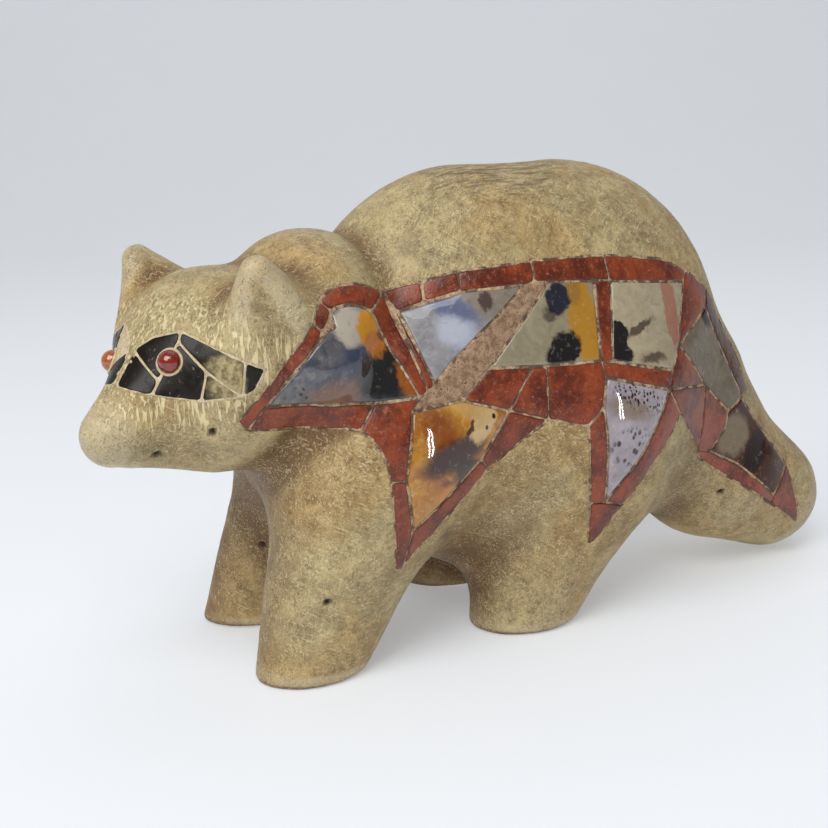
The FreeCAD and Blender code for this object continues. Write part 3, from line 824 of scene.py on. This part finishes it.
def carve_body(panels, material):
    """The stone block: sculpted, with its pockets, pits and marks."""
    points, quads = carved_surface(VOXEL)
    normals = normals_at(points)
    # Painted shade: the stone is painted brown where its surface lies in a hollow (6 mm test) or a
    # crease (2 mm test), standing in for the shade that falls there.
    hollow = np.clip((6.0 - carving(points + normals * 6.0)) / 4.0, 0.0, 1.0)
    crease_shade = np.clip((2.0 - carving(points + normals * 2.0)) / 0.5, 0.0, 1.0)
    hollow = np.maximum(hollow, crease_shade * 0.8)
    height = relief(points) + 0.035 * noise(points, 1.1, 3)
    fringe = np.zeros(len(points))
    for plane, loop in panels:
        facing = plane.mine(points) & (normals @ plane.out > 0.1)
        where = np.flatnonzero(facing)
        inside = edge_distance(plane.drawn(points[where]), loop)
        height[where] -= POCKET_DEPTH * ramp(inside, 0.0, 0.7)
        if plane.on_head:
            fringe[where] = ramp(inside, -7.5, -3.0) * ramp(inside, 0.5, -0.3)
    curve = curvature(points)
    # Partly real polish, partly a painted highlight: thin convex edges are painted whitish and made
    # smoother, both for their polish and for the light they catch.
    polish = ramp(curve, 0.1, 0.2) * (1.0 - hollow)
    tooling = tooled(points)
    height -= 0.1 * tooling * np.maximum(noise(points * np.array([1.0, 0.25, 1.0]), 1.2, 5), 0.0)
    pits = np.zeros(len(points))
    for centre, radius in PITS:
        distance = np.linalg.norm(points - np.array(centre), axis=1)
        ragged = distance * (1.0 + 0.25 * noise(points, 0.9, 11))
        pits = np.maximum(pits, ramp(ragged, radius, radius * 0.5))
    height -= PIT_DEPTH * pits
    attributes = {"hollow": hollow, "polish": polish, "tooling": tooling, "pits": pits,
                  "fringe": fringe}
    body = make_object("carved_body", points + normals * height[:, None], quads, material,
                       "carved_stone", attributes)
    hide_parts("stone_body")


def curvature(points, reach=2.0):
    """Twice the mean curvature, in 1/mm: high on thin edges."""
    total = -6.0 * carving(points)
    for step in np.eye(3, dtype=np.float32) * reach:
        total = total + carving(points + step) + carving(points - step)
    return total / (reach * reach)


def tooled(points):
    """1 in the patch of tool marks on top of the back, 0 away from it."""
    centre = np.array([4.0, -2.0, 87.0])
    reach = np.linalg.norm((points - centre) / np.array([13.0, 19.0, 9.0]), axis=-1)
    return ramp(reach + 0.35 * noise(points, 5.0, 8), 1.0, 0.6)


STYLES = {    # millimetres: rim width, drop at the rim, crown, unevenness, outline's wobble and growth
    "agate": (0.55, 0.4, 0.5, 0.02, 0.05, 0.08),
    "flat_agate": (0.55, 0.4, 0.06, 0.02, 0.05, 0.08),
    "red": (0.4, 0.26, 0.12, 0.08, 0.08, 0.16),
    "mask": (0.22, 0.15, 0.03, 0.02, 0.04, 0.06),
    "mortar": (0.5, 0.25, 0.0, 0.16, 0.12, 0.2),
}
TILE_DEPTH = 1.3
CROWN_REACH = 2.2       # the crown is mostly reached this far in from the rim
SHADED_RIM = 0.9


def tile_geometry(loop, plane, style):
    """One tile's vertices and faces, and how near each vertex is to the rim and the olive patch."""
    rim_width, drop, crown, uneven, wobble, growth = STYLES[style]
    loop = anticlockwise(resampled(rounded(loop, 0.3), 0.45))
    place = np.concatenate([loop, np.zeros((len(loop), 1))], axis=1)
    loop = loop + loop_normals(loop) * (wobble * noise(place, 1.7, 11) - growth)[:, None]
    rings = (rim_width * 0.3, rim_width * 0.65, rim_width)
    flat, triangles, loop = filled(loop, 0.75, rings)
    if plane.side < 0:
        triangles = triangles[:, ::-1]
    inside = np.maximum(edge_distance(flat, loop), 0.0)
    surface = plane.lifted(flat.astype(np.float32))
    normals = normals_at(surface)
    share = np.clip(inside / rim_width, 0.0, 1.0)
    height = relief(surface) - drop * (1.0 - np.sqrt(1.0 - (1.0 - share) ** 2))
    height += crown * (1.0 - np.exp(-inside / CROWN_REACH)) + uneven * noise(surface, 1.5, 12)
    top = surface + normals * height[:, None]
    bottom = surface + normals * (relief(surface) - TILE_DEPTH)[:, None]
    vertices, faces = closed_slab(top, bottom, triangles)
    rim = 1.0 - np.clip(inside / SHADED_RIM, 0.0, 1.0)
    olive = ramp(flat[:, 0], 12.5, 19.0) * ramp(flat[:, 0], 22.6, 20.0) * ramp(flat[:, 1], 62.4, 58.8)
    return vertices, faces, np.tile(rim, 2), np.tile(olive, 2)


def lay_tiles(node, plane, style, material, slot):
    """One visual piece for one CAD node, which may hold several tiles."""
    tiles = [tile_geometry(loop, plane, style) for loop in rim_loops(node, plane)]
    vertices, faces = merged([tile[:2] for tile in tiles])
    attributes = {"rim": np.concatenate([tile[2] for tile in tiles])}
    if style == "mask":
        attributes["olive"] = np.concatenate([tile[3] for tile in tiles])
    piece = make_object("laid_" + node, vertices, faces, material, slot, attributes)
    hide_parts(node)


GROUT_DROP = 0.14       # below the stone's surface
GROUT_DEPTH = 0.9


def lay_grout(name, node, planes, material, slot):
    """Mortar between the tiles, a little below them, feathered out over the stone.

    Gives back each panel's plane and outline, for the pockets cut in the stone.
    """
    slabs = []
    panels = []
    for plane in planes:
        for loop in rim_loops(node, plane)[:1]:
            panels.append((plane, loop))
            outline = anticlockwise(resampled(rounded(loop, 0.4), 0.5))
            place = np.concatenate([outline, np.zeros((len(outline), 1))], axis=1)
            spread = 0.16 + 0.14 * noise(place, 2.0, 21)
            outline = outline - loop_normals(outline) * spread[:, None]
            flat, triangles, _ = filled(outline, 0.5, (0.3,))
            if plane.side < 0:
                triangles = triangles[:, ::-1]
            inside = edge_distance(flat, loop)
            surface = plane.lifted(flat.astype(np.float32))
            normals = normals_at(surface)
            height = relief(surface) - GROUT_DROP + 0.08 * noise(surface, 0.9, 22)
            height += 0.2 * ramp(inside, 0.3, 0.0) - 0.3 * ramp(inside, 0.0, -0.5)
            top = surface + normals * height[:, None]
            bottom = surface + normals * (height - GROUT_DEPTH)[:, None]
            slabs.append(closed_slab(top, bottom, triangles))
    piece = make_object(name, *merged(slabs), material, slot)
    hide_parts(node)
    return panels


def circle(side, over, turns):
    angles = 2.0 * math.pi * np.arange(turns) / turns
    return np.cos(angles)[:, None] * side + np.sin(angles)[:, None] * over


BEAD_RADIUS = 1.95
BEAD_SINK = 0.15        # its centre is this far below the stone's surface


def set_eye(node, material, mortar_material):
    """A round bead, half sunk where the CAD bead is, in a ring of mortar."""
    low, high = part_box(node)
    middle = (np.array(low) + np.array(high)) * 0.5 / MM
    place = settle(middle[None].astype(np.float32))[0]
    out = normals_at(place[None])[0]
    centre = place - out * BEAD_SINK
    turns, bands = 48, 24
    side = np.cross(out, (0.0, 0.0, 1.0))
    side /= np.linalg.norm(side)
    over = np.cross(out, side)
    level = circle(side, over, turns)
    tilts = math.pi * np.arange(1, bands) / bands
    rows = [centre + BEAD_RADIUS * (out * math.cos(tilt) + level * math.sin(tilt)) for tilt in tilts]
    poles = [centre + out * BEAD_RADIUS], [centre - out * BEAD_RADIUS]
    vertices = np.concatenate([poles[0], *rows, poles[1]])
    last = len(vertices) - 1
    faces = []
    for turn in range(turns):
        after = (turn + 1) % turns
        faces.append([0, 1 + turn, 1 + after])
        faces.append([last, last - turns + after, last - turns + turn])
        for band in range(bands - 2):
            row = 1 + band * turns
            faces.append([row + turn, row + turns + turn, row + turns + after, row + after])
    piece = make_object("bead_" + node, vertices, faces, material, "carnelian_bead")
    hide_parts(node)
    set_ring(node, centre, side, over, mortar_material)


def set_ring(node, centre, side, over, material):
    """The mortar squeezed up round a bead."""
    radius, tube, turns, bands = BEAD_RADIUS + 0.12, 0.3, 64, 10
    round_out = circle(side, over, turns)
    spine = settle((centre + round_out * radius).astype(np.float32))
    normals = normals_at(spine)
    spine = spine + normals * (-0.12 + 0.08 * noise(spine, 1.2, 31))[:, None]
    vertices = []
    for place, up, away in zip(spine, normals, round_out):
        for band in range(bands):
            tilt = 2.0 * math.pi * band / bands
            vertices.append(place + tube * (up * math.sin(tilt) + away * math.cos(tilt)))
    faces = []
    for turn in range(turns):
        for band in range(bands):
            a, b = turn * bands + band, turn * bands + (band + 1) % bands
            c, d = (b + bands) % len(vertices), (a + bands) % len(vertices)
            faces.append([a, b, c, d])
    make_object("mortar_ring_" + node, vertices, faces, material, "mortar")


# ---- the agates' own patterns
BLACK = (22, 17, 20)
NAVY = (34, 34, 50)
UMBER = (52, 20, 8)
# Three cloud colours, as screen levels. Then patches: colour, (Y, Z), half sizes, turn, softness
# and strength. Then clusters of dots: colour, (Y, Z), half sizes, turn, spacing and dot radius.
AGATES = {
    "agate_shoulder": (((100, 98, 98), (62, 66, 78), (136, 130, 122)), [
        ((58, 66, 92), (-37.6, 59.0), (4.6, 4.2), 0.4, 0.9, 0.95),
        ((138, 92, 66), (-41.5, 53.0), (6.0, 2.2), 0.1, 1.0, 0.75),
        ((28, 26, 28), (-33.2, 55.2), (6.0, 4.6), 0.0, 0.5, 1.0),
        ((24, 22, 24), (-30.0, 58.5), (2.6, 4.0), 0.5, 0.5, 1.0),
        ((186, 176, 160), (-38.6, 63.4), (3.6, 3.0), 0.1, 0.35, 1.0),
        ((206, 142, 30), (-34.4, 62.4), (2.9, 3.2), 0.3, 0.3, 1.0),
        ((190, 112, 16), (-33.4, 60.0), (2.6, 2.4), 0.5, 0.4, 1.0),
        ((112, 44, 22), (-31.4, 61.0), (1.0, 1.3), 0.5, 0.5, 0.9),
        ((150, 82, 20), (-28.8, 53.4), (1.9, 3.2), 0.3, 0.5, 1.0)],
        [((40, 34, 30), (-49.0, 52.0), (4.5, 2.4), 0.6, 1.3, 0.3)]),
    "agate_ridge": (((132, 130, 134), (152, 150, 152), (176, 174, 172)), [
        ((136, 122, 106), (-9.5, 66.2), (7.5, 4.0), 0.15, 0.8, 0.9),
        ((90, 98, 132), (-18.6, 64.2), (4.4, 1.9), -0.5, 0.9, 0.85),
        ((186, 190, 204), (-18.8, 60.6), (3.6, 2.4), -0.3, 0.8, 0.8),
        ((70, 54, 50), (-12.6, 65.4), (1.3, 1.3), 0.6, 0.5, 0.9),
        ((98, 84, 74), (-8.0, 68.4), (4.0, 0.9), 0.1, 0.9, 0.7)], []),
    "agate_middle": (((142, 132, 106), (160, 148, 120), (128, 122, 102)), [
        ((176, 126, 40), (6.4, 60.5), (3.0, 8.2), 0.0, 0.3, 1.0),
        ((146, 104, 42), (5.2, 66.0), (1.6, 2.4), 0.0, 0.8, 0.8),
        (NAVY, (1.6, 64.9), (2.5, 2.9), -0.3, 0.2, 1.0),
        (BLACK, (-0.4, 62.2), (1.4, 1.3), 0.0, 0.6, 0.7),
        (BLACK, (1.6, 55.9), (3.9, 2.6), 0.45, 0.22, 1.0)], []),
    "agate_loin": (((166, 152, 124), (180, 166, 138), (144, 132, 108)), [
        ((128, 120, 106), (19.0, 67.2), (4.0, 0.9), 0.0, 0.9, 0.7),
        ((166, 110, 90), (27.6, 60.0), (1.9, 8.5), 0.06, 0.35, 0.9),
        (BLACK, (12.9, 57.0), (2.7, 2.7), 0.0, 0.12, 1.0),
        (BLACK, (13.6, 54.2), (2.2, 2.0), 0.2, 0.3, 1.0),
        ((70, 58, 44), (18.6, 58.2), (3.4, 0.7), 0.42, 0.5, 0.9),
        ((58, 42, 28), (21.0, 52.6), (3.0, 1.0), 0.0, 0.7, 0.8)], []),
    "agate_foreleg": (((178, 124, 44), (150, 92, 28), (200, 158, 84)), [
        ((208, 160, 70), (-20.0, 49.2), (5.5, 2.0), 0.0, 0.9, 0.8),
        ((120, 56, 16), (-24.5, 44.0), (3.2, 6.0), 0.2, 0.9, 0.8),
        (UMBER, (-22.5, 40.0), (7.0, 2.6), 0.25, 0.7, 1.0),
        ((34, 12, 8), (-19.0, 36.6), (3.6, 2.4), -0.5, 0.6, 0.95),
        ((96, 22, 10), (-22.5, 35.2), (2.6, 0.8), -0.3, 0.8, 0.9),
        ((186, 156, 108), (-16.2, 45.2), (2.3, 4.0), -0.55, 0.3, 1.0),
        ((176, 138, 84), (-18.4, 47.8), (3.0, 1.8), -0.3, 0.9, 0.8),
        ((182, 116, 34), (-23.2, 32.6), (3.0, 2.4), 0.3, 0.8, 0.9),
        ((46, 18, 8), (-19.0, 43.8), (0.5, 2.2), -0.4, 0.5, 0.9)],
        [((36, 16, 10), (-15.6, 45.6), (2.2, 4.2), -0.5, 2.1, 0.22)]),
    "agate_hindleg": (((140, 130, 138), (156, 146, 152), (176, 166, 168)), [
        ((124, 106, 92), (13.6, 44.2), (5.2, 1.8), -0.35, 0.9, 0.85),
        ((172, 162, 166), (17.0, 49.0), (5.0, 1.8), -0.2, 0.9, 0.7)],
        [((24, 18, 20), (16.0, 46.0), (6.5, 2.3), -0.45, 0.62, 0.5),
         ((20, 16, 26), (14.0, 37.0), (4.6, 3.6), -0.35, 1.05, 0.52)]),
    "agate_rump": (((112, 100, 84), (128, 116, 98), (92, 80, 66)), [
        ((34, 22, 14), (40.4, 58.0), (2.4, 2.6), 0.3, 0.5, 1.0),
        ((40, 22, 12), (48.6, 50.0), (1.9, 10.0), 0.41, 0.5, 1.0),
        ((30, 18, 12), (46.0, 50.5), (1.4, 1.6), 0.0, 0.5, 0.9)], []),
    "agate_tail": (((78, 44, 24), (64, 32, 16), (96, 60, 34)), [
        ((128, 112, 90), (48.4, 32.4), (4.6, 4.4), 0.6, 0.4, 1.0),
        ((34, 14, 6), (55.0, 27.6), (3.0, 5.0), -0.5, 0.5, 1.0)], []),
}


# ---- light, floor and camera
LAMP_TARGET = (0, 0, 0.04)


def direction(azimuth, elevation):
    """The way out from the object. Azimuth 0 is in front of it, 90 on its left side."""
    a, e = math.radians(azimuth), math.radians(elevation)
    return Vector((math.sin(a) * math.cos(e), -math.cos(a) * math.cos(e), math.sin(e)))


def softbox(name, azimuth, elevation, distance, size, power):
    """An area light that faces the object. Distances and sizes in metres."""
    away = direction(azimuth, elevation)
    lamp = bpy.data.lights.new(name, "AREA")
    lamp.shape = "RECTANGLE"
    lamp.size, lamp.size_y = size
    lamp.energy = power
    obj = bpy.data.objects.new(name, lamp)
    obj.location = Vector(LAMP_TARGET) + away * distance
    obj.rotation_euler = away.to_track_quat("Z", "Y").to_euler()
    bpy.context.scene.collection.objects.link(obj)
    return obj


SWEEP_FRONT = -1.2      # metres from the object, along the camera's view
SWEEP_BACK = 0.7        # where the floor starts to curve up
SWEEP_RADIUS = 0.5
SWEEP_HEIGHT = 2.4
SWEEP_HALF_WIDTH = 2.5
SWEEP_STEPS = 12


def backdrop():
    """A pale sweep: floor, curve and wall in one sheet, square to the camera."""
    s = Shader("pale_paper")
    s.set(Roughness=0.9, Specular_IOR_Level=0.1, Emission_Strength=0.3,
          Emission_Color=(0.95, 0.97, 1.0, 1.0))
    s.finish(s.mix(s.noise(60, 2), rgb(212, 216, 221), rgb(215, 219, 224)))
    a = math.radians(CAMERA_AZIMUTH)
    away = np.array([-math.sin(a), math.cos(a)])
    side = np.array([math.cos(a), math.sin(a)])
    curve = [(SWEEP_FRONT, 0.0), (0.0, 0.0), (SWEEP_BACK, 0.0)]
    for step in range(1, SWEEP_STEPS + 1):
        angle = math.pi / 2 * step / SWEEP_STEPS
        curve.append((SWEEP_BACK + SWEEP_RADIUS * math.sin(angle),
                      SWEEP_RADIUS * (1.0 - math.cos(angle))))
    curve.append((SWEEP_BACK + SWEEP_RADIUS, SWEEP_HEIGHT))
    vertices, faces = [], []
    for along, height in curve:
        for half in (-SWEEP_HALF_WIDTH, SWEEP_HALF_WIDTH):
            x, y = away * along + side * half
            vertices.append((x, y, height))
    for row in range(len(curve) - 1):
        faces.append((row * 2, row * 2 + 1, row * 2 + 3, row * 2 + 2))
    add_mesh("paper_sweep", vertices, faces, s.material)


CAMERA_AZIMUTH = 62.4
CAMERA_ELEVATION = 12.9
CAMERA_ROLL = -1.4
CAMERA_DISTANCE = 0.2474
CAMERA_TARGET = (-0.0064, -0.0123, 0.0398)
CAMERA_LENS = 54.35


def camera():
    a, r = math.radians(CAMERA_AZIMUTH), math.radians(CAMERA_ROLL)
    back = direction(CAMERA_AZIMUTH, CAMERA_ELEVATION)
    right = Vector((math.cos(a), math.sin(a), 0.0))
    up = back.cross(right)
    turned_right = right * math.cos(r) + up * math.sin(r)
    turned_up = up * math.cos(r) - right * math.sin(r)
    data = bpy.data.cameras.new("camera")
    data.lens = CAMERA_LENS
    data.clip_start = 0.01
    obj = bpy.data.objects.new("camera", data)
    axes = Matrix((turned_right, turned_up, back)).transposed().to_4x4()
    obj.matrix_world = Matrix.Translation(Vector(CAMERA_TARGET) + back * CAMERA_DISTANCE) @ axes
    bpy.context.scene.collection.objects.link(obj)
    bpy.context.scene.camera = obj


def light():
    """Three windows, two thin strips that only the lower agates catch, and a dim room."""
    softbox("key_window", 30, 42, 0.9, (0.6, 0.6), 5.2)
    softbox("fill_window", 64, 52, 1.0, (0.5, 0.5), 2.0)
    softbox("top_window", 210, 68, 0.9, (0.8, 0.8), 1.0)
    streaked = bpy.data.collections.new("streaked_stones")
    for stone in ("laid_left_agate_foreleg", "laid_left_agate_hindleg"):
        streaked.objects.link(bpy.data.objects[stone])
    for name, azimuth in (("front_strip", 110.5), ("rear_strip", 113.5)):
        strip = softbox(name, azimuth, 6, 0.6, (0.008, 0.24), 0.3)
        strip.light_linking.receiver_collection = streaked
    world = bpy.data.worlds.new("pale_room")
    world.use_nodes = True
    world.node_tree.nodes["Background"].inputs["Color"].default_value = (0.95, 0.94, 0.92, 1.0)
    world.node_tree.nodes["Background"].inputs["Strength"].default_value = 0.2
    bpy.context.scene.world = world
    bpy.context.scene.view_settings.view_transform = "Standard"


# ---- assembly
camera()
backdrop()

red = red_stone()
black = black_stone()
grout = mortar("mortar", rgb(206, 182, 146), rgb(160, 124, 92), 0.8, stain=0.3)
mask_grout = mortar("pale_mortar", rgb(222, 206, 172), rgb(190, 168, 130), 0.8)
sandy = mortar("sandy_mortar", rgb(176, 146, 116), rgb(122, 92, 68), 1.1)
dark = red_stone("dark_stone", rgb(48, 30, 22), rgb(84, 52, 34))
red_bead = bead_stone("red_carnelian", rgb(104, 18, 10), rgb(142, 34, 18))
amber_bead = bead_stone("amber_carnelian", rgb(150, 78, 34), rgb(178, 104, 52))

panels = lay_grout("flank_grout_fill", "flank_grout",
                   [PLANES["left", "flank"], PLANES["right", "flank"]], grout, "mortar")
panels += lay_grout("mask_grout_fill", "mask_grout",
                    [PLANES["left", "mask"], PLANES["right", "mask"]], mask_grout, "mortar")
carve_body(panels, carved_stone())

DOMED = ("agate_shoulder", "agate_ridge", "agate_foreleg", "agate_hindleg")
DULL = ("agate_rump", "agate_tail")
DULL_GLOSS = 0.4
RIGHT_SHIFT = 1.5       # so that the guessed side isn't an exact mirror, in millimetres

for node in sorted(frame["nodes"]):
    side = "right" if node.startswith("right") else "left"
    kind = node.split("_", 1)[1]
    slot = next(part["material_slot"] for part in frame["record"]["subparts"] if part["node"] == node)
    plane = PLANES[side, "flank"]
    if kind in AGATES:
        stone = agate(node + "_stone", *AGATES[kind], shift=0.0 if side == "left" else RIGHT_SHIFT,
                      gloss=DULL_GLOSS if kind in DULL else 1.0)
        lay_tiles(node, plane, "agate" if kind in DOMED else "flat_agate", stone, slot)
    elif kind == "mortar_band":
        lay_tiles(node, plane, "mortar", sandy, slot)
    elif kind.startswith("mask"):
        lay_tiles(node, PLANES[side, "mask"], "mask", black, slot)
    elif kind == "dark_rump_strip":
        lay_tiles(node, plane, "red", dark, slot)
    elif kind.startswith("red") or kind == "border_tiles":
        lay_tiles(node, plane, "red", red, slot)
set_eye("left_eye", red_bead, mask_grout)
set_eye("right_eye", amber_bead, mask_grout)
light()
